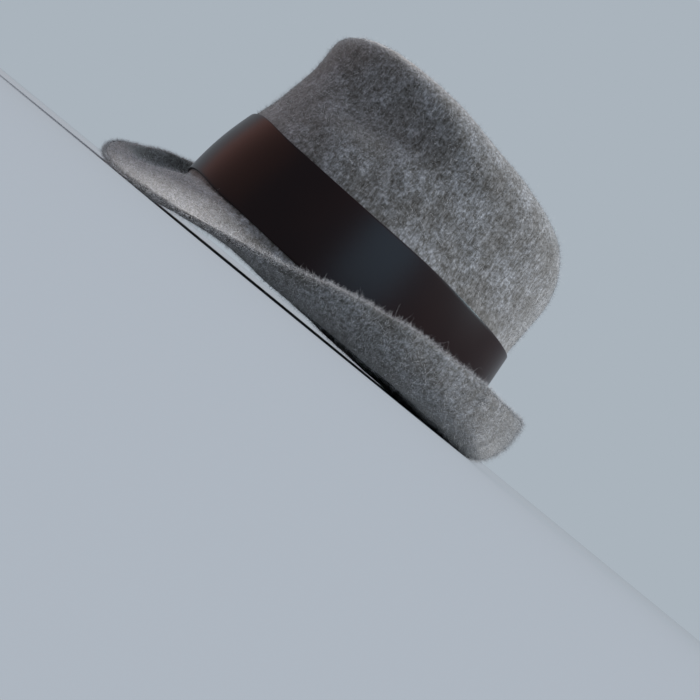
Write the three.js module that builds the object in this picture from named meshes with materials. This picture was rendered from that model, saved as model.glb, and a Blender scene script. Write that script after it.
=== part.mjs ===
// A snap-brim fedora. The crown and the brim are one blocked piece of thick wool felt, and a plain wide
// band goes round the foot of the crown. The brim dips at the front and rolls up at the sides and the back.
//
// Millimetres, +Z up. The front of the hat points to -Y and the wearer's left to +X. The hat rests on
// z = 0. Angles go round the hat from the front (0) by the side (90) to the back (180). The crown's sides
// are alike, and the brim is turned a little to the wearer's left.

import * as THREE from "three";

// Grid: how finely the sheet of felt is divided.
const SECTORS = 72;
const BRIM_STEPS = 10;
const WALL_STEPS = 9;
const SHOULDER_STEPS = 4;
const TOP_STEPS = 5;
const EDGE_STEPS = 3;
const BAND_STEPS = 5;

// Felt
const FELT_THICKNESS = 3;
const EDGE_THICKNESS = 4.4;
const EDGE_SWELL_SHARE = 0.25;

// Band
const BAND_WIDTH = 45;
const BAND_THICKNESS = 1.2;
const BAND_GAP = 0.3;

// Lower edge of the band above the foot of the crown, a row for each angle from the front: it sits a
// little lower where the brim starts to roll up.
const BAND_FOOT = [
  { angle: 0, height: 3 },
  { angle: 30, height: -1 },
  { angle: 60, height: -2 },
  { angle: 90, height: 0 },
  { angle: 180, height: 1.5 },
];

// How the hat stands: it leans back on the roll of its brim, and the felt is pressed flat where it rests.
const LEAN = THREE.MathUtils.degToRad(3.3);
const LIFT = 18.8;

// Crown wall, a row for each height above the foot of the crown: reach of the middle of the felt from the
// centre to the front, to the back and to the side.
const CROWN_WALL = [
  { height: 0, front: 105, back: 105, side: 86 },
  { height: 24, front: 104, back: 104.5, side: 85 },
  { height: 44, front: 100.5, back: 101.5, side: 83 },
  { height: 58, front: 97, back: 101, side: 80 },
  { height: 80, front: 95.5, back: 102, side: 78 },
  { height: 120, front: 95, back: 100, side: 75 },
];
const OVAL_POWER = 2.15;
const EGG_SHARE = 0.03;

// Ridge line of the crown, a row for each place along its length, from the front (-1) to the back (1).
const CROWN_RIDGE = [
  { along: -1, height: 119 },
  { along: -0.6, height: 120 },
  { along: -0.15, height: 118 },
  { along: 0.3, height: 117.5 },
  { along: 0.65, height: 115.3 },
  { along: 1, height: 107 },
];

// Rounding from the wall into the top
const SHOULDER_FRONT = 14;
const SHOULDER_BACK = 28;

// Centre dent of the crown, a teardrop that is wider to the back: by a share of its width for each half
// length, and never narrower than a share of it.
const DENT_DEPTH = 15;
const DENT_CENTRE = -5;
const DENT_HALF_LENGTH = 66;
const DENT_HALF_WIDTH = 27;
const DENT_WIDENING = 0.45;
const DENT_NARROWEST = 0.4;

// Pinch on each side of the crown's front
const PINCH_DEPTH = 14.5;
const PINCH_ANGLE = THREE.MathUtils.degToRad(40);
const PINCH_ARC = THREE.MathUtils.degToRad(26);
const PINCH_HEIGHT = 89;
const PINCH_HALF_HEIGHT = 15;

// The brim dips a little to the wearer's left of the front.
const BRIM_TURN = THREE.MathUtils.degToRad(15);

// Brim, a row for each angle from its lowest dip: reach and height of its free edge, the drop of the fold
// straight below the foot of the crown, and the place that the outer half of the roll is pulled towards.
const BRIM = [
  { angle: 0, reach: 42, edge: -26, drop: -4, pull_reach: 22, pull: -14 },
  { angle: 15, reach: 42, edge: -23, drop: -4, pull_reach: 22, pull: -13 },
  { angle: 30, reach: 41, edge: -16.5, drop: -11, pull_reach: 25, pull: -18 },
  { angle: 45, reach: 40, edge: -8, drop: -18, pull_reach: 28, pull: -22 },
  { angle: 60, reach: 39.5, edge: 3.5, drop: -18, pull_reach: 31, pull: -22 },
  { angle: 75, reach: 39, edge: 12, drop: -16, pull_reach: 36, pull: -21 },
  { angle: 105, reach: 35, edge: 17.5, drop: -14, pull_reach: 42, pull: -20 },
  { angle: 138, reach: 29, edge: 21, drop: -16, pull_reach: 40, pull: -21 },
  { angle: 180, reach: 29, edge: 26, drop: -16, pull_reach: 40, pull: -21 },
];

// Reads a table of rows smoothly: the first column is where, and the other columns are what.
function readTable(rows) {
  const [where, ...what] = Object.keys(rows[0]);
  const places = rows.map((row) => row[where]);
  const values = rows.flatMap((row) => what.map((column) => row[column]));
  const curve = new THREE.CubicInterpolant(places, values, what.length);
  curve.settings = { endingStart: THREE.ZeroSlopeEnding, endingEnd: THREE.ZeroSlopeEnding };
  return (place) => {
    const found = curve.evaluate(place);
    return Object.fromEntries(what.map((column, i) => [column, found[i]]));
  };
}

const crownWallAt = readTable(CROWN_WALL);
const crownRidgeAt = readTable(CROWN_RIDGE);
const bandFootAt = readTable(BAND_FOOT);
const brimAt = readTable(BRIM);

const signedPower = (x, power) => Math.sign(x) * Math.abs(x) ** power;
const bell = (x) => Math.exp(-x * x);

// How far round the hat an angle is from another, either way.
const turnFrom = (start, angle) =>
  Math.abs(THREE.MathUtils.euclideanModulo(angle - start + Math.PI, 2 * Math.PI) - Math.PI);

// A point of the crown's plan, from the angle round the hat, the share of the way from the centre line to
// the wall, and the height.
function planPoint(angle, share, height) {
  const wall = crownWallAt(THREE.MathUtils.clamp(height, 0, CROWN_WALL.at(-1).height));
  const forward = signedPower(Math.cos(angle), 2 / OVAL_POWER);
  const sideways = signedPower(Math.sin(angle), 2 / OVAL_POWER) * (1 - EGG_SHARE * forward);
  const x = share * wall.side * sideways;
  const y = -share * (forward > 0 ? wall.front : wall.back) * forward;
  return new THREE.Vector3(x, y, height);
}

// Height of the crown's top over a place in its plan, before the shoulder rounds it off.
function topHeight(point) {
  const length = CROWN_WALL.at(-1).back;
  const ridge = crownRidgeAt(THREE.MathUtils.clamp(point.y / length, -1, 1)).height;
  const along = (point.y - DENT_CENTRE) / DENT_HALF_LENGTH;
  const widening = Math.max(1 + DENT_WIDENING * along, DENT_NARROWEST);
  const across = point.x / (DENT_HALF_WIDTH * widening);
  return ridge - DENT_DEPTH * bell(across) * bell(along ** 2);
}

const shoulderRadius = (angle) =>
  THREE.MathUtils.lerp(SHOULDER_FRONT, SHOULDER_BACK, (1 - Math.cos(angle)) / 2);

// Presses the crown in where fingers pinch it.
function pinched(point, angle) {
  const level = (point.z - PINCH_HEIGHT) / PINCH_HALF_HEIGHT;
  const depth = PINCH_DEPTH * bell((turnFrom(0, angle) - PINCH_ANGLE) / PINCH_ARC) * bell(level);
  const inward = new THREE.Vector3(-point.x, -point.y, 0).normalize();
  return point.addScaledVector(inward, depth);
}

// The four stretches of the felt's middle surface, from the free edge of the brim to the middle of the top.
// Each takes the angle round the hat and t from 0 to 1 along the stretch.

function brimPoint(angle, t) {
  const row = brimAt(THREE.MathUtils.radToDeg(turnFrom(BRIM_TURN, angle)));
  const foot = planPoint(angle, 1, 0);
  const roll = new THREE.CubicBezierCurve(
    new THREE.Vector2(row.reach, row.edge),
    new THREE.Vector2(row.pull_reach, row.pull),
    new THREE.Vector2(0, row.drop),
    new THREE.Vector2(0, 0),
  ).getPoint(t);
  const wall = CROWN_WALL[0];
  const outward = new THREE.Vector3(
    wall.front * Math.sin(angle),
    -wall.side * Math.cos(angle),
    0,
  ).normalize();
  return foot.addScaledVector(outward, roll.x).setZ(roll.y);
}

function wallTop(angle) {
  const rim = planPoint(angle, 1, CROWN_WALL.at(-1).height);
  return topHeight(rim) - shoulderRadius(angle);
}

function wallPoint(angle, t) {
  return pinched(planPoint(angle, 1, t * wallTop(angle)), angle);
}

function shoulderPoint(angle, t) {
  const radius = shoulderRadius(angle);
  const turn = (t * Math.PI) / 2;
  const rise = wallTop(angle) + radius * Math.sin(turn);
  const wall = planPoint(angle, 1, rise);
  const inward = new THREE.Vector3(-wall.x, -wall.y, 0).normalize();
  const point = wall.addScaledVector(inward, radius * (1 - Math.cos(turn)));
  point.z = THREE.MathUtils.lerp(rise, topHeight(point), t ** 2);
  return pinched(point, angle);
}

function topPoint(angle, t) {
  const rim = shoulderPoint(angle, 1);
  const point = new THREE.Vector3(rim.x * (1 - t), rim.y * (1 - t), 0);
  point.z = topHeight(point);
  return point;
}

const STRETCHES = [
  { point: brimPoint, steps: BRIM_STEPS },
  { point: wallPoint, steps: WALL_STEPS },
  { point: shoulderPoint, steps: SHOULDER_STEPS },
  { point: topPoint, steps: TOP_STEPS },
];

const SHEET_STEPS = STRETCHES.reduce((sum, stretch) => sum + stretch.steps, 0);

// Stands the hat on its brim.
function stood(point) {
  return point.applyAxisAngle(new THREE.Vector3(1, 0, 0), -LEAN).add(new THREE.Vector3(0, 0, LIFT));
}

// The middle surface as one sheet: s counts the steps from the free edge of the brim.
function sheetPoint(angle, s) {
  let left = s;
  for (const { point, steps } of STRETCHES) {
    if (left <= steps) return stood(point(angle, left / steps));
    left -= steps;
  }
  return stood(topPoint(angle, 1));
}

// Unit directions at a place of the sheet: inward from the free edge, and out of the crown or up off the
// brim.
function sheetFrame(angle, s) {
  const small = 1e-3;
  const round = sheetPoint(angle + small, s).sub(sheetPoint(angle - small, s));
  const inward = sheetPoint(angle, s + small).sub(sheetPoint(angle, Math.max(s - small, 0)));
  return { inward: inward.normalize(), outward: round.cross(inward).normalize() };
}

// A point at a distance from the middle of the felt, pressed flat where the hat rests.
function besideSheet(angle, s, distance) {
  const point = sheetPoint(angle, s).addScaledVector(sheetFrame(angle, s).outward, distance);
  return point.setZ(Math.max(point.z, 0));
}

// The felt is fuller at its free edge.
function thicknessAt(s) {
  const swell = 1 - THREE.MathUtils.smoothstep(s / BRIM_STEPS, 0, EDGE_SWELL_SHARE);
  return FELT_THICKNESS + (EDGE_THICKNESS - FELT_THICKNESS) * swell;
}

const ringOf = (pointAt) =>
  Array.from({ length: SECTORS }, (_, i) => pointAt((i / SECTORS) * 2 * Math.PI));

// A mesh over rings of points. A ring of one point closes an end, and closed rings run round a whole
// section.
function ringMesh(rings, { closed = false, name, material }) {
  const starts = [];
  const positions = [];
  for (const ring of rings) {
    starts.push(positions.length / 3);
    ring.forEach((point) => positions.push(...point.toArray()));
  }
  const at = (i, j) => starts[i] + (rings[i].length === 1 ? 0 : j % SECTORS);
  const indices = [];
  for (let i = 0; i + (closed ? 0 : 1) < rings.length; i++) {
    const next = (i + 1) % rings.length;
    for (let j = 0; j < SECTORS; j++) {
      const [a, b, c, d] = [at(i, j), at(next, j), at(next, j + 1), at(i, j + 1)];
      if (a !== d) indices.push(a, c, d);
      if (b !== c) indices.push(a, b, c);
    }
  }
  const geometry = new THREE.BufferGeometry();
  geometry.setAttribute("position", new THREE.Float32BufferAttribute(positions, 3));
  geometry.setIndex(indices);
  geometry.computeVertexNormals();
  const mesh = new THREE.Mesh(geometry, material);
  mesh.name = name;
  return mesh;
}

function feltBody() {
  const crownTop = stood(topPoint(0, 1));
  const outerTop = crownTop.clone().add(new THREE.Vector3(0, 0, FELT_THICKNESS / 2));
  const innerTop = crownTop.clone().sub(new THREE.Vector3(0, 0, FELT_THICKNESS / 2));
  const steps = Array.from({ length: SHEET_STEPS }, (_, i) => SHEET_STEPS - 1 - i);
  const outer = steps.map((s) => ringOf((angle) => besideSheet(angle, s, thicknessAt(s) / 2)));
  const inner = steps.map((s) => ringOf((angle) => besideSheet(angle, s, -thicknessAt(s) / 2)));
  const edge = [];
  for (let i = 1; i < EDGE_STEPS + 1; i++) {
    const turn = (i / (EDGE_STEPS + 1)) * Math.PI;
    edge.push(
      ringOf((angle) => {
        const { inward, outward } = sheetFrame(angle, 0);
        const point = sheetPoint(angle, 0)
          .addScaledVector(outward, (Math.cos(turn) * EDGE_THICKNESS) / 2)
          .addScaledVector(inward, (-Math.sin(turn) * EDGE_THICKNESS) / 2);
        return point.setZ(Math.max(point.z, 0));
      }),
    );
  }
  return ringMesh([[outerTop], ...outer, ...edge, ...inner.reverse(), [innerTop]], {
    name: "felt_body",
    material: new THREE.MeshStandardMaterial({ color: 0x6f6e6c, roughness: 0.95, metalness: 0 }),
  });
}

// Where on the sheet, in steps, the crown wall reaches a height above the foot of the crown.
const wallStep = (angle, height) => BRIM_STEPS + (WALL_STEPS * height) / wallTop(angle);

function hatBand() {
  const inside = FELT_THICKNESS / 2 + BAND_GAP;
  const outside = inside + BAND_THICKNESS;
  const shares = Array.from({ length: BAND_STEPS + 1 }, (_, i) => i / BAND_STEPS);
  const bandPoint = (angle, share, distance) => {
    const foot = bandFootAt(THREE.MathUtils.radToDeg(turnFrom(0, angle))).height;
    return besideSheet(angle, wallStep(angle, foot + share * BAND_WIDTH), distance);
  };
  const face = (distance) =>
    shares.map((share) => ringOf((angle) => bandPoint(angle, share, distance)));
  return ringMesh([...face(outside).reverse(), ...face(inside)], {
    closed: true,
    name: "hat_band",
    material: new THREE.MeshStandardMaterial({ color: 0x121114, roughness: 0.42, metalness: 0 }),
  });
}

const fedora = new THREE.Group();
fedora.add(feltBody(), hatBand());

// The origin is on the surface that the hat rests on, under the middle of its length and width.
const middle = new THREE.Box3().setFromObject(fedora).getCenter(new THREE.Vector3());
fedora.position.set(-middle.x, -middle.y, 0);

export default fedora;
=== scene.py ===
# %% [markdown]
# # A fedora in thick grey wool felt
#
# The hat was blocked from one piece of felt, and a dark band goes round its crown. Its true shape is
# already in the frame. This lesson gives that shape what makes felt look like felt: a soft lumpy
# surface, a heathered colour and loose wool fibres that stand off it everywhere.
#
# Everything is in metres, +Z up, with the front of the hat towards -Y and the wearer's left
# towards +X.

# %% Load the frame
import math

import bpy
from mathutils import Matrix, Quaternion, Vector


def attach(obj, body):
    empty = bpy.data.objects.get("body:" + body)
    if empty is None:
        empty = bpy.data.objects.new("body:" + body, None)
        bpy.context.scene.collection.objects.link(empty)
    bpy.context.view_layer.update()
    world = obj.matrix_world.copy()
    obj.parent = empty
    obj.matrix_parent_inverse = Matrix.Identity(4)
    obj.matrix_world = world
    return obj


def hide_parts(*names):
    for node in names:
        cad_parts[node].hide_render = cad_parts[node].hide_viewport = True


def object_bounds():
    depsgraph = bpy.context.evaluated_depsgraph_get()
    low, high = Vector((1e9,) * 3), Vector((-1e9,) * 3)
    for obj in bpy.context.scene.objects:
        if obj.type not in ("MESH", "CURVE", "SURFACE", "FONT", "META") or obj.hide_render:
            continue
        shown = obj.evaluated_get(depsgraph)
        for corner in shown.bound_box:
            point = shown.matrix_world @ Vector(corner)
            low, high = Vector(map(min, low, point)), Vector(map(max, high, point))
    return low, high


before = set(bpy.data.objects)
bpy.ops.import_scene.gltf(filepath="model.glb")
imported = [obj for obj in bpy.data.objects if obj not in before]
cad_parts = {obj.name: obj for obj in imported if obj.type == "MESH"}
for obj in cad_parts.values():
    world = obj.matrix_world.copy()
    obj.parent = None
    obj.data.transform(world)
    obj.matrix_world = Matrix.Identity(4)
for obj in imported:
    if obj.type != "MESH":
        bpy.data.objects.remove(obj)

MM = 0.001
FELT_NODE = "felt_body"
BAND_NODE = "hat_band"

cad_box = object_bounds()
hat_size = cad_box[1] - cad_box[0]
print("The hat measures, in mm:", [round(side / MM) for side in hat_size])


# %% [markdown]
# ## Three small helpers
#
# Operators act on whatever is selected, so one helper selects a single piece and nothing else.
# Colours are written the way a paint chart gives them, as sRGB hex, and turned into the linear
# values that shaders use. The last helper adds one node to any node tree, with its settings and its
# links, and is used for every material and for the loose fibres.

# %% Select one piece
def select_only(piece):
    bpy.ops.object.select_all(action="DESELECT")
    piece.select_set(True)
    bpy.context.view_layer.objects.active = piece


# %% Turn a paint colour into a shader colour
def linear(paint):
    """The curve of the sRGB standard: straight near black, and a power above it."""
    shares = [int(paint[i:i + 2], 16) / 255 for i in (1, 3, 5)]
    light = [s / 12.92 if s <= 0.04045 else ((s + 0.055) / 1.055) ** 2.4 for s in shares]
    return (*light, 1.0)


# %% Add a node
def add_node(tree, kind, inputs=None, **settings):
    """A new node. Settings are its own. Inputs are its sockets' values, or sockets that feed them."""
    node = tree.nodes.new(kind)
    for name, value in settings.items():
        setattr(node, name, value)
    for name, value in (inputs or {}).items():
        socket = node.inputs[name]
        if isinstance(value, bpy.types.NodeSocket):
            tree.links.new(value, socket)
        else:
            socket.default_value = value
    return node


# %% [markdown]
# ## The felt
#
# The felt body is one sheet of wool about 3 mm thick, from the free edge of the brim to the top of
# the crown. It could be modelled again from a grid, but the frame already holds it as a faceted
# solid, and a copy of that solid keeps its form exactly. So the copy is merged, its triangles are
# joined back into four-sided faces, and a Subdivision Surface rounds them.

# %% Copy the felt from the frame
SAME_PLACE = 0.01 * MM
MOST_BEND = math.radians(60)
MOST_SKEW = math.radians(80)
FELT_SUBDIVISIONS = 2


def copy_of_node(node_name, piece_name):
    """A piece of its own with the merged mesh of a CAD node."""
    piece = bpy.data.objects.new(piece_name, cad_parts[node_name].data.copy())
    bpy.context.scene.collection.objects.link(piece)
    piece.data.name = piece_name
    piece.data.materials.clear()
    select_only(piece)
    bpy.ops.object.mode_set(mode="EDIT")
    bpy.ops.mesh.select_all(action="SELECT")
    bpy.ops.mesh.remove_doubles(threshold=SAME_PLACE)
    bpy.ops.mesh.tris_convert_to_quads(
        face_threshold=MOST_BEND, shape_threshold=MOST_SKEW, topology_influence=1.0,
    )
    bpy.ops.mesh.mark_sharp(clear=True)
    bpy.ops.object.mode_set(mode="OBJECT")
    bpy.ops.mesh.customdata_custom_splitnormals_clear()
    return piece


def subdivide(piece, levels):
    select_only(piece)
    modifier = piece.modifiers.new("round", "SUBSURF")
    modifier.levels = modifier.render_levels = levels
    bpy.ops.object.modifier_apply(modifier=modifier.name)


felt = copy_of_node(FELT_NODE, "felt")
print("Faces of the felt before rounding:", len(felt.data.polygons))
subdivide(felt, FELT_SUBDIVISIONS)
print("Faces of the felt:", len(felt.data.polygons))

# %% [markdown]
# Felt that was made by hand is never quite even. Sculpting would do, but two Displace modifiers are
# quicker and treat the whole hat alike. They push the surface in and out: one in broad swells, where
# the hands pressed harder or softer, and one in small lumps of matted wool. The felt lies smooth
# behind the band, so a vertex group lets both fade out there. It is made by measuring how far each
# point is from the band.

# %% Leave the felt smooth behind the band
OPEN_FELT = "open felt"
BAND_CLEARANCE = 2.5 * MM
BAND_FADE = 9 * MM

everywhere = felt.vertex_groups.new(name=OPEN_FELT)
everywhere.add(range(len(felt.data.vertices)), 1.0, "REPLACE")
select_only(felt)
distance = felt.modifiers.new("distance from the band", "VERTEX_WEIGHT_PROXIMITY")
distance.vertex_group = OPEN_FELT
distance.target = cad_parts[BAND_NODE]
distance.proximity_mode = "GEOMETRY"
distance.proximity_geometry = {"FACE"}
distance.min_dist = BAND_CLEARANCE
distance.max_dist = BAND_FADE
bpy.ops.object.modifier_apply(modifier=distance.name)
print("The felt fades from smooth to open over", round((BAND_FADE - BAND_CLEARANCE) / MM, 1), "mm")

# %% Swells and lumps
SWELL, SWELL_HEIGHT = 26 * MM, 1.6 * MM
LUMP, LUMP_HEIGHT = 5 * MM, 0.45 * MM


def push(piece, name, grain, height):
    """Moves the surface in and out by up to half the height, in lumps about as big as the grain."""
    texture = bpy.data.textures.new(name, "CLOUDS")
    texture.noise_scale = grain
    texture.noise_depth = 2
    select_only(piece)
    modifier = piece.modifiers.new(name, "DISPLACE")
    modifier.texture = texture
    modifier.texture_coords = "LOCAL"
    modifier.strength = height
    modifier.mid_level = 0.5
    modifier.vertex_group = OPEN_FELT
    bpy.ops.object.modifier_apply(modifier=modifier.name)
    print("Pushed", piece.name, "into", name, "of up to", round(height / 2 / MM, 2), "mm")


push(felt, "swells", SWELL, SWELL_HEIGHT)
push(felt, "lumps", LUMP, LUMP_HEIGHT)

# %% [markdown]
# The hat rests on the roll at the back of the brim and on the dip in front. Its weight presses the
# felt flat there, so whatever the lumps pushed below the table is scaled flat onto it.

# %% Press the felt flat where it rests
def select_points(piece, chosen):
    """Selects the points for which chosen(place) is true and stays in edit mode."""
    select_only(piece)
    bpy.ops.object.mode_set(mode="EDIT")
    bpy.context.tool_settings.mesh_select_mode = (True, False, False)
    bpy.ops.mesh.select_all(action="DESELECT")
    bpy.ops.object.mode_set(mode="OBJECT")
    for vertex in piece.data.vertices:
        vertex.select = chosen(vertex.co)
    print(sum(vertex.select for vertex in piece.data.vertices), "points chosen on", piece.name)
    bpy.ops.object.mode_set(mode="EDIT")


select_points(felt, lambda place: place.z < 0)
bpy.ops.transform.resize(value=(1, 1, 0), center_override=(0, 0, 0))
bpy.ops.object.mode_set(mode="OBJECT")
bpy.ops.object.shade_smooth()


# %% [markdown]
# ## What felt looks like
#
# Wool felt: fleece that was wetted and rubbed until its fibres matted. It has no weave and no shine,
# only a soft glow at grazing angles, and its grey is a blend of dark, grey and near-white wool.
#
# The colour comes from patterns of four sizes. Strands are noises stretched along three directions,
# so that they cross as matted fibres do. Knots and tufts are the little clumps between them, and the
# blend is the unevenness of the fleece. Real strands are 0.03 mm wide, too fine to show from this
# far, so they are drawn as coarse as the clumps that the eye takes for strands.

# %% Small steps that the materials share
def noise(tree, place, size, **inputs):
    """A noise whose lumps are about the size given. One wave of it is a lump and a gap."""
    wave = 2 * size
    node = add_node(tree, "ShaderNodeTexNoise", {"Vector": place, "Scale": 1 / wave, **inputs})
    return node.outputs["Fac"]


def ramp(tree, factor, stops):
    """Turns a factor into colours: stops are pairs of a place from 0 to 1 and a colour."""
    node = add_node(tree, "ShaderNodeValToRGB", {"Fac": factor})
    while len(node.color_ramp.elements) < len(stops):
        node.color_ramp.elements.new(0.5)
    for element, (place, paint) in zip(node.color_ramp.elements, stops):
        element.position = place
        element.color = linear(paint)
    return node.outputs["Color"]


def math_node(tree, operation, *values):
    return add_node(tree, "ShaderNodeMath", dict(enumerate(values)), operation=operation).outputs[0]


def new_material(name, paint):
    """A material with only its surface shader and output, of one colour to start with."""
    material = bpy.data.materials.new(name)
    material.use_nodes = True
    material.diffuse_color = linear(paint)
    tree = material.node_tree
    tree.nodes.clear()
    shader = add_node(tree, "ShaderNodeBsdfPrincipled", {"Base Color": linear(paint)})
    add_node(tree, "ShaderNodeOutputMaterial", {"Surface": shader.outputs["BSDF"]})
    return material, tree, shader


# %% The felt's material
STRAND_WIDTH = 0.35 * MM
STRAND_LENGTH = 2.6 * MM
KNOT = 0.9 * MM
TUFT = 2.4 * MM
BLEND = 9 * MM
BUMP_DEPTH = 0.5 * MM
STRAND_TURNS = [(0, 0, 0), (1.2, 0.4, 0), (0.5, 1.3, 0.8)]
STRAND_SHARE, KNOT_SHARE, TUFT_SHARE = 0.42, 0.4, 0.18
WOOL_SHADES = [(0.38, "#383633"), (0.46, "#605e5a"), (0.53, "#828282"), (0.62, "#b0b0b1")]
BLEND_TINTS = [(0.35, "#abaaa8"), (0.65, "#d2d5d9")]
MIX_FACTOR, MIX_A, MIX_B, MIX_RESULT = 0, 6, 7, 2


def heathered_wool_felt():
    material, tree, shader = new_material("heathered wool felt", "#6f6e6c")
    place = add_node(tree, "ShaderNodeTexCoord").outputs["Object"]
    strands = 0.0
    for turn in STRAND_TURNS:
        along = add_node(tree, "ShaderNodeMapping", {
            "Vector": place, "Rotation": turn, "Scale": (1, 1, STRAND_WIDTH / STRAND_LENGTH),
        }).outputs["Vector"]
        strand = noise(tree, along, STRAND_WIDTH, Detail=2.0, Roughness=0.5, Distortion=0.4)
        strands = math_node(tree, "MULTIPLY_ADD", strand, 1 / len(STRAND_TURNS), strands)
    knots = noise(tree, place, KNOT, Detail=3.0, Roughness=0.65, Distortion=0.3)
    blend = noise(tree, place, BLEND, Detail=2.0)
    tufts = noise(tree, place, TUFT, Detail=2.0, Distortion=0.5)
    grain = math_node(tree, "MULTIPLY", strands, STRAND_SHARE)
    grain = math_node(tree, "MULTIPLY_ADD", knots, KNOT_SHARE, grain)
    grain = math_node(tree, "MULTIPLY_ADD", tufts, TUFT_SHARE, grain)
    wool = ramp(tree, grain, WOOL_SHADES)
    tint = ramp(tree, blend, BLEND_TINTS)
    colour = add_node(
        tree, "ShaderNodeMix", {MIX_FACTOR: 1.0, MIX_A: wool, MIX_B: tint},
        data_type="RGBA", blend_type="MULTIPLY",
    )
    bump = add_node(tree, "ShaderNodeBump", {
        "Height": grain, "Strength": 0.7, "Distance": BUMP_DEPTH,
    })
    tree.links.new(colour.outputs[MIX_RESULT], shader.inputs["Base Color"])
    tree.links.new(bump.outputs["Normal"], shader.inputs["Normal"])
    shader.inputs["Roughness"].default_value = 0.95
    shader.inputs["Specular IOR Level"].default_value = 0.15
    shader.inputs["Sheen Weight"].default_value = 0.7
    shader.inputs["Sheen Roughness"].default_value = 0.5
    shader.inputs["Sheen Tint"].default_value = linear("#d4d3d0")
    return material


felt.data.materials.append(heathered_wool_felt())
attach(felt, "root")
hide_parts(FELT_NODE)
print("The felt's material:", felt.data.materials[0].name)

# %% [markdown]
# ## Loose fibres
#
# No felt ends in a clean line. Thousands of fibres stand off it, most of them short and flattened by
# wear, and a few long ones that curl right away. They are what blurs the hat's outline. They are
# thickest on the free edge of the brim, where the fleece ends, and a little thicker on the brim than
# on the crown. At the back of the brim they are also longer. Inside the hollow they are rubbed away.
#
# Vertex groups say how thick the fibres stand: one for the whole felt, one for the free edge alone,
# and one for the back of the brim, which grows in steps from the middle of the hat to its back. They
# could be painted by hand, but the edge is too narrow to paint evenly. So a ray from each point
# tells where the point is. Out along its normal it only travels far and still meets felt inside the
# hollow. In through the felt it only travels far from the free edge, where it runs along the sheet.

# %% How thick the fibres stand at a point
FIBRES = "fibres"
RAY_START_IN_MM = 0.3
ALONG_THE_SHEET = 4.6 * MM
ACROSS_THE_HOLLOW = 60 * MM
BRIM_HEIGHT = 52 * MM
ON_EDGE, ON_BRIM, ON_CROWN, INSIDE = 1.0, 0.32, 0.24, 0.03


def free_run(place, way):
    """How far a ray goes until it meets felt, or none if it never does."""
    start = place + way * RAY_START_IN_MM * MM
    met, end, _, _ = felt.ray_cast(start, way)
    return (end - start).length if met else None


def fibre_thickness(place, normal):
    if (free_run(place, -normal) or 0) > ALONG_THE_SHEET:
        return ON_EDGE
    if (free_run(place, normal) or 0) > ACROSS_THE_HOLLOW:
        return INSIDE
    return ON_BRIM if place.z < BRIM_HEIGHT else ON_CROWN


points_by_thickness = {ON_EDGE: [], ON_BRIM: [], ON_CROWN: [], INSIDE: []}
for vertex in felt.data.vertices:
    points_by_thickness[fibre_thickness(vertex.co, vertex.normal)].append(vertex.index)
counts = [len(points) for points in points_by_thickness.values()]
print("Points on the edge, brim, crown and inside:", counts)

# %% Write the vertex groups
FREE_EDGE = "free edge"
BACK_OF_BRIM = "back of the brim"
BACK_STARTS, BACK_IS_FULL = 50 * MM, 110 * MM
BACK_STEPS = 5

fibres_group = felt.vertex_groups.new(name=FIBRES)
for thickness, points in points_by_thickness.items():
    fibres_group.add(points, thickness, "REPLACE")
edge_group = felt.vertex_groups.new(name=FREE_EDGE)
edge_group.add(points_by_thickness[ON_EDGE], 1.0, "REPLACE")
back_group = felt.vertex_groups.new(name=BACK_OF_BRIM)
brim_points = points_by_thickness[ON_EDGE] + points_by_thickness[ON_BRIM]
for step in range(BACK_STEPS):
    least = BACK_STARTS + (BACK_IS_FULL - BACK_STARTS) * step / BACK_STEPS
    farther = [point for point in brim_points if felt.data.vertices[point].co.y > least]
    back_group.add(farther, (step + 1) / BACK_STEPS, "REPLACE")
    print("Points farther back than", round(least / MM), "mm:", len(farther))

# %% [markdown]
# The free edge of real felt is worn round, while the frame's edge still has two corners. A bevel
# would need its edges picked out, but the free edge has a vertex group by now, so a Smooth modifier
# on that group wears the corners off.

# %% Round the free edge
soften = felt.modifiers.new("round the edge", "SMOOTH")
soften.factor = 0.5
soften.iterations = 6
soften.vertex_group = FREE_EDGE
select_only(felt)
bpy.ops.object.modifier_apply(modifier=soften.name)
print("Points of the free edge worn round:", len(points_by_thickness[ON_EDGE]))


# %% [markdown]
# Fibres could be a hair system, but hair would not come along as a mesh. Instead, Geometry Nodes
# scatters points on the felt by one of the groups, and by the one that fades out behind the band. It
# puts a fibre on each point, leaned over and turned at random. The short down is so many that each
# fibre is only a thin three-sided spike. A long fibre is a line instead, bent by a noise that
# differs from fibre to fibre and given a thin tapered body. Both are applied, so that they are real
# meshes. What a lean or a curl takes below the table is lifted just clear of it.

# %% Nodes that scatter fibres
CM2_IN_M2 = 1e4


def fibre_tree(name):
    tree = bpy.data.node_groups.new(name, "GeometryNodeTree")
    tree.interface.new_socket("Geometry", in_out="INPUT", socket_type="NodeSocketGeometry")
    tree.interface.new_socket("Geometry", in_out="OUTPUT", socket_type="NodeSocketGeometry")
    return tree, add_node(tree, "NodeGroupInput").outputs["Geometry"]


def random_number(tree, least, most, seed):
    node = add_node(
        tree, "FunctionNodeRandomValue", {2: least, 3: most, "Seed": seed}, data_type="FLOAT",
    )
    return node.outputs[1]


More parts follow.
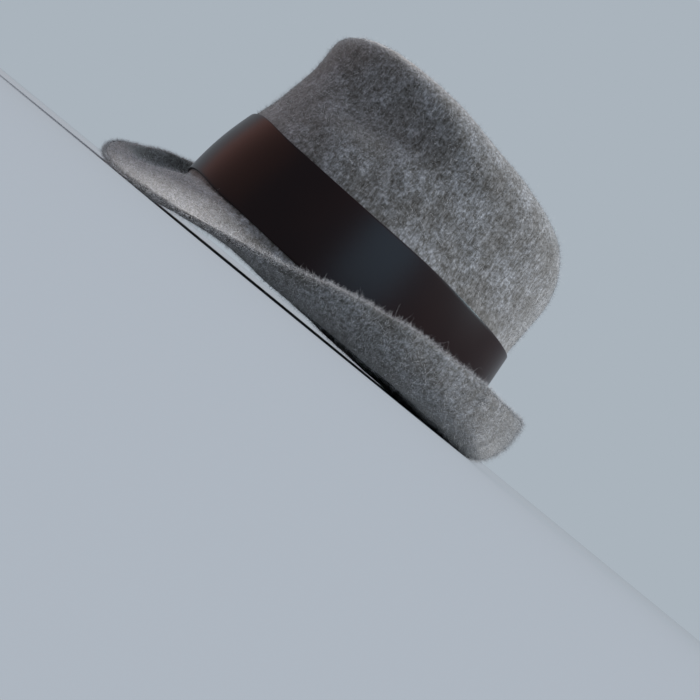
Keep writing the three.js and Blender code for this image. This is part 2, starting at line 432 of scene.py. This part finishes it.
def scatter(tree, ground, fibre, where, per_cm2, lean, length, seed):
    """Puts fibres one metre long on the ground and shrinks them to their length."""
    density = per_cm2 * CM2_IN_M2
    for group in (where, OPEN_FELT):
        share = add_node(
            tree, "GeometryNodeInputNamedAttribute", {"Name": group}, data_type="FLOAT",
        )
        density = math_node(tree, "MULTIPLY", share.outputs["Attribute"], density)
    roots = add_node(tree, "GeometryNodeDistributePointsOnFaces", {
        "Mesh": ground, "Density": density, "Seed": seed,
    })
    turn = add_node(tree, "ShaderNodeCombineXYZ", {
        "X": random_number(tree, *lean, seed + 1),
        "Z": random_number(tree, 0, 2 * math.pi, seed + 2),
    })
    leaned = add_node(tree, "FunctionNodeEulerToRotation", {"Euler": turn.outputs["Vector"]})
    rotation = add_node(tree, "FunctionNodeRotateRotation", {
        "Rotation": roots.outputs["Rotation"], "Rotate By": leaned.outputs["Rotation"],
    }, rotation_space="LOCAL")
    size = add_node(tree, "ShaderNodeCombineXYZ", {
        "X": 1.0, "Y": 1.0, "Z": random_number(tree, *length, seed + 3),
    })
    planted = add_node(tree, "GeometryNodeInstanceOnPoints", {
        "Points": roots.outputs["Points"], "Instance": fibre,
        "Rotation": rotation.outputs["Rotation"], "Scale": size.outputs["Vector"],
    })
    return planted.outputs["Instances"]


# %% Nodes that keep fibres off the table
TABLE_CLEARANCE = 0.05 * MM


def above_table(tree, geometry):
    """Lifts what is below the table onto it."""
    place = add_node(tree, "ShaderNodeSeparateXYZ", {
        "Vector": add_node(tree, "GeometryNodeInputPosition").outputs["Position"],
    })
    kept = add_node(tree, "ShaderNodeCombineXYZ", {
        "X": place.outputs["X"], "Y": place.outputs["Y"],
        "Z": math_node(tree, "MAXIMUM", place.outputs["Z"], TABLE_CLEARANCE),
    })
    moved = add_node(tree, "GeometryNodeSetPosition", {
        "Geometry": geometry, "Position": kept.outputs["Vector"],
    })
    return moved.outputs["Geometry"]


# %% The two kinds of fibre
FIBRE_SIDES = 3
TAPER = 0.75
FIBRE_NUMBERS = 1000


def short_spikes(name, thickness, **planting):
    tree, ground = fibre_tree(name)
    spike = add_node(tree, "GeometryNodeMeshCone", {
        "Vertices": FIBRE_SIDES, "Radius Top": 0.0, "Radius Bottom": thickness / 2, "Depth": 1.0,
    })
    planted = scatter(tree, ground, spike.outputs["Mesh"], **planting)
    grown = add_node(tree, "GeometryNodeRealizeInstances", {"Geometry": planted})
    add_node(tree, "NodeGroupOutput", {"Geometry": above_table(tree, grown.outputs["Geometry"])})
    return tree


def long_curls(name, thickness, steps, curl, curl_size, seed, **planting):
    tree, ground = fibre_tree(name)
    line = add_node(tree, "GeometryNodeCurvePrimitiveLine", {"End": (0, 0, 1)})
    line = add_node(tree, "GeometryNodeResampleCurve", {
        "Curve": line.outputs["Curve"], "Count": steps + 1,
    })
    planted = scatter(tree, ground, line.outputs["Curve"], seed=seed, **planting)
    numbered = add_node(tree, "GeometryNodeStoreNamedAttribute", {
        "Geometry": planted, "Name": "which fibre",
        "Value": random_number(tree, 0, FIBRE_NUMBERS, seed + 4),
    }, data_type="FLOAT", domain="INSTANCE")
    grown = add_node(tree, "GeometryNodeRealizeInstances", {
        "Geometry": numbered.outputs["Geometry"],
    })
    along = add_node(tree, "GeometryNodeSplineParameter").outputs["Factor"]
    which = add_node(
        tree, "GeometryNodeInputNamedAttribute", {"Name": "which fibre"}, data_type="FLOAT",
    )
    wander = add_node(tree, "ShaderNodeTexNoise", {
        "Vector": add_node(tree, "GeometryNodeInputPosition").outputs["Position"],
        "W": which.outputs["Attribute"], "Scale": 1 / (2 * curl_size), "Detail": 1.0,
    }, noise_dimensions="4D")
    swing = add_node(tree, "ShaderNodeVectorMath", {
        0: wander.outputs["Color"], 1: (0.5, 0.5, 0.5),
    }, operation="SUBTRACT")
    bend = add_node(tree, "ShaderNodeVectorMath", {
        0: swing.outputs["Vector"], "Scale": math_node(tree, "MULTIPLY", along, 2 * curl),
    }, operation="SCALE")
    bent = add_node(tree, "GeometryNodeSetPosition", {
        "Geometry": grown.outputs["Geometry"], "Offset": bend.outputs["Vector"],
    })
    section = add_node(tree, "GeometryNodeCurvePrimitiveCircle", {
        "Resolution": FIBRE_SIDES, "Radius": thickness / 2,
    })
    body = add_node(tree, "GeometryNodeCurveToMesh", {
        "Curve": above_table(tree, bent.outputs["Geometry"]),
        "Profile Curve": section.outputs["Curve"],
        "Scale": math_node(tree, "MULTIPLY_ADD", along, -TAPER, 1.0), "Fill Caps": True,
    })
    add_node(tree, "NodeGroupOutput", {"Geometry": body.outputs["Mesh"]})
    return tree


# %% [markdown]
# A wool fibre is scaly, so it scatters light and hardly shines. At a few hundredths of a millimetre
# it would vanish in the picture, so each one here stands for the small tuft that it belongs to.
#
# Heathered wool is a blend, so each layer is one shade of it. Over the whole hat the dark down lies
# nearly flat, the grey down leans and the pale down stands up. The back of the brim has a longer
# layer besides. The free edge has a dark and a pale layer, both much denser, and small curls. The
# long stray fibres are few and grow everywhere.

# %% Turn the felt into a layer of fibres
def grow(tree, paint):
    """A copy of the felt, turned into the fibres that the nodes grow on it."""
    layer = bpy.data.objects.new(tree.name, felt.data.copy())
    bpy.context.scene.collection.objects.link(layer)
    select_only(layer)
    modifier = layer.modifiers.new("grow", "NODES")
    modifier.node_group = tree
    bpy.ops.object.modifier_apply(modifier=modifier.name)
    material, _, shader = new_material(tree.name.replace("_", " ") + " wool", paint)
    shader.inputs["Roughness"].default_value = 0.8
    shader.inputs["Specular IOR Level"].default_value = 0.25
    layer.data.materials.clear()
    layer.data.materials.append(material)
    layer.vertex_groups.clear()
    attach(layer, "root")
    triangles = sum(len(face.vertices) - 2 for face in layer.data.polygons)
    print(layer.name, "has", triangles, "triangles")


def planting(where, per_cm2, lean, length, seed):
    """How a layer is planted: where, how densely, lean in degrees, length in mm, and its seed."""
    return {
        "where": where, "per_cm2": per_cm2, "seed": seed,
        "lean": [math.radians(angle) for angle in lean],
        "length": [size * MM for size in length],
    }


# %% Grow the short down
DOWN_THICKNESS = 0.11 * MM

for name, paint, *plan in [
    ("dark_down", "#3c3937", FIBRES, 86, (66, 88), (0.9, 2.2), 11),
    ("grey_down", "#787878", FIBRES, 76, (15, 80), (1.0, 2.8), 21),
    ("pale_down", "#b3b4b6", FIBRES, 80, (0, 55), (1.2, 3.4), 31),
    ("back_down", "#8f8f8e", BACK_OF_BRIM, 60, (0, 70), (2.0, 4.8), 81),
    ("edge_shade", "#4c4a48", FREE_EDGE, 170, (20, 80), (0.9, 2.6), 61),
    ("edge_down", "#b5b5b4", FREE_EDGE, 330, (0, 75), (1.0, 3.2), 51),
]:
    grow(short_spikes(name, DOWN_THICKNESS, **planting(*plan)), paint)

# %% Grow the long fibres and the curls
# Thickness, curl and the size of a curl are in mm.
for name, paint, thickness, steps, curl, curl_size, *plan in [
    ("stray_fibres", "#d8d8d8", 0.06, 7, 3.2, 2.2, FIBRES, 8, (35, 80), (3, 8), 41),
    ("edge_curls", "#c8c8c8", 0.1, 3, 1.8, 1.4, FREE_EDGE, 64, (0, 75), (1.5, 4), 71),
]:
    grow(long_curls(
        name, thickness * MM, steps, curl * MM, curl_size * MM, **planting(*plan),
    ), paint)

# %% [markdown]
# ## The band
#
# A wide strip of smooth, near-black leather goes round the foot of the crown. Its edges are cut and
# slightly rounded, and it is drawn tight, so its face is almost even. It was cut flat, 45 mm wide
# and as long as the way round the crown. It could be wrapped with a Shrinkwrap modifier, but its
# place on the felt is in the frame, so it starts as a copy of the frame's band. Its cut edges are
# bevelled and the strip is rounded along its length.

# %% Model the band
CUT_EDGE = 0.3 * MM
CUT_EDGE_STEPS = 2
CUT_EDGE_ANGLE = math.radians(50)
BAND_SUBDIVISIONS = 1

band = copy_of_node(BAND_NODE, "leather_band")
bevel = band.modifiers.new("cut edges", "BEVEL")
bevel.width = CUT_EDGE
bevel.segments = CUT_EDGE_STEPS
bevel.limit_method = "ANGLE"
bevel.angle_limit = CUT_EDGE_ANGLE
bpy.ops.object.modifier_apply(modifier=bevel.name)
subdivide(band, BAND_SUBDIVISIONS)
bpy.ops.object.shade_smooth()
print("Faces of the band:", len(band.data.polygons))


# %% [markdown]
# Finished leather: dyed through, pressed flat and sealed with a thin lacquer. It mirrors the lights
# as broad soft glows, weakly because the lacquer is thin. Their cool tint is a painted cool
# reflection, set in the shader's specular tint. The reddish-brown cast of its near-black is painted
# warm light. Its pores are about half a millimetre apart and very shallow, and the strip is a little
# uneven where the hide was thicker.

# %% The band's material
PORE = 0.5 * MM
PORE_DEPTH = 0.05 * MM
HIDE = 22 * MM
# The red-brown cast in both of these tints is painted warm light; the step between them is the hide's
# unevenness.
HIDE_TINTS_AND_PAINTED_WARM_CAST = [(0.35, "#190c0b"), (0.65, "#1c0e0c")]
GLOSSIEST, DULLEST = 0.26, 0.34


def smooth_black_leather():
    material, tree, shader = new_material("smooth black leather", "#120f10")
    place = add_node(tree, "ShaderNodeTexCoord").outputs["Object"]
    pores = add_node(tree, "ShaderNodeTexVoronoi", {"Vector": place, "Scale": 1 / PORE})
    hide = noise(tree, place, HIDE, Detail=2.0)
    colour = ramp(tree, hide, HIDE_TINTS_AND_PAINTED_WARM_CAST)
    polish = add_node(tree, "ShaderNodeMapRange", {
        "Value": hide, "To Min": GLOSSIEST, "To Max": DULLEST,
    })
    bump = add_node(tree, "ShaderNodeBump", {
        "Height": pores.outputs["Distance"], "Strength": 0.08, "Distance": PORE_DEPTH,
    })
    tree.links.new(colour, shader.inputs["Base Color"])
    tree.links.new(polish.outputs["Result"], shader.inputs["Roughness"])
    tree.links.new(bump.outputs["Normal"], shader.inputs["Normal"])
    shader.inputs["Specular IOR Level"].default_value = 0.12
    # Painted cool reflection: this bluish specular tint makes the lamps' glows on the band cool.
    shader.inputs["Specular Tint"].default_value = linear("#baf0ff")
    return material


band.data.materials.append(smooth_black_leather())
print("The band's material:", band.data.materials[0].name)

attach(band, "root")
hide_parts(BAND_NODE)


# %% [markdown]
# ## The table
#
# The hat stands on a plain, pale tabletop. A backdrop that curves up behind would do as well, but a
# tabletop so wide that its edge is far behind everything is simpler. Soft light from a pale room
# falls on it from all round, which makes the tabletop and the room nearly one tone.

# %% Model the tabletop
TABLE_RADIUS = 4.0
TABLE_CORNERS = 64

bpy.ops.mesh.primitive_circle_add(vertices=TABLE_CORNERS, radius=TABLE_RADIUS, fill_type="NGON")
table = bpy.context.active_object
table.name = "tabletop"
paper, _, shader = new_material("pale matt paper", "#8b9094")
shader.inputs["Roughness"].default_value = 1.0
shader.inputs["Specular IOR Level"].default_value = 0.0
table.data.materials.append(paper)
print("The tabletop is", 2 * TABLE_RADIUS, "m wide")


# %% [markdown]
# ## The camera
#
# The hat is seen from its left front, a little from below, and the picture is turned so that the
# brim slopes down to the right. From that low a camera would look through the table, so it stands
# just above the tabletop instead and keeps the direction, the turn and the framing. The framing is
# given by one point of the hat, the pixel it falls on, and how many pixels a metre takes there.

# %% Place the camera
CAMERA_AZIMUTH = math.radians(66.3)
CAMERA_TURN = math.radians(39.4)
CAMERA_DISTANCE = 650 * MM
CAMERA_HEIGHT = 4 * MM
AIM = Vector((-1.8, 8.9, 68.7)) * MM
AIM_PIXEL = (381.5, 236)
PICTURE = 700
PIXELS_PER_METRE = 1700
SENSOR = 36


def place_camera():
    elevation = math.asin((CAMERA_HEIGHT - AIM.z) / CAMERA_DISTANCE)
    across = Vector((math.cos(CAMERA_AZIMUTH), math.sin(CAMERA_AZIMUTH), 0))
    back = Vector((
        math.sin(CAMERA_AZIMUTH) * math.cos(elevation),
        -math.cos(CAMERA_AZIMUTH) * math.cos(elevation),
        math.sin(elevation),
    ))
    across.rotate(Quaternion(back, CAMERA_TURN))
    upward = back.cross(across)
    right, down = [(pixel - PICTURE / 2) / PIXELS_PER_METRE for pixel in AIM_PIXEL]
    picture_middle = AIM - across * right + upward * down
    camera = bpy.data.objects.new("camera", bpy.data.cameras.new("camera"))
    bpy.context.scene.collection.objects.link(camera)
    bpy.context.scene.camera = camera
    camera.location = AIM + back * CAMERA_DISTANCE
    back = (camera.location - picture_middle).normalized()
    across = upward.cross(back).normalized()
    axes = Matrix((across, back.cross(across), back)).transposed()
    camera.rotation_mode = "QUATERNION"
    camera.rotation_quaternion = axes.to_quaternion()
    camera.data.clip_start = 1 * MM
    camera.data.sensor_width = SENSOR
    camera.data.lens = SENSOR * CAMERA_DISTANCE * PIXELS_PER_METRE / PICTURE
    print("The camera looks up by", round(-math.degrees(elevation), 1), "degrees")
    print("Its lens, in mm:", round(camera.data.lens, 1))


place_camera()

# %% [markdown]
# ## The light
#
# Plain soft studio light. A picture of a room could light the hat, but four lights of its own are
# easier to steer. A broad light comes from above and behind, so far away that it is even all over
# the table. A wide panel on the wearer's left makes the soft glow on the band. A wide warm panel,
# low in front, gives the front of the band its brown, and the pale room fills the shadows.

# %% Hang the lights
hat_middle = (cad_box[0] + cad_box[1]) / 2


def lamp(kind, name, place, strength, paint, **settings):
    """Hangs a light that points at the middle of the hat."""
    light = bpy.data.lights.new(name, kind)
    light.energy = strength
    light.color = linear(paint)[:3]
    for setting, value in settings.items():
        setattr(light, setting, value)
    piece = bpy.data.objects.new(name, light)
    bpy.context.scene.collection.objects.link(piece)
    piece.location = place
    piece.rotation_mode = "QUATERNION"
    piece.rotation_quaternion = (hat_middle - piece.location).to_track_quat("-Z", "Y")
    print(name, "of strength", strength)


lamp(
    "SUN", "overhead light", place=(0.36, 0.79, 0.74), strength=5.3, paint="#fdfdff",
    angle=math.radians(25),
)
lamp(
    "AREA", "side panel", place=(1.62, 0.02, 0.66), strength=9.5, paint="#e2ecff",
    size=0.9,
)
lamp(
    "AREA", "warm panel", place=(-0.68, -1.25, 0.52), strength=3.8, paint="#ff761c",
    shape="RECTANGLE", size=1.9, size_y=0.8,
)

# %% Fill the room with light
room = bpy.data.worlds.new("pale room")
bpy.context.scene.world = room
room.use_nodes = True
room.node_tree.nodes["Background"].inputs["Color"].default_value = linear("#aab4bd")
bpy.context.scene.view_settings.view_transform = "Standard"
print("The room is", room.name)
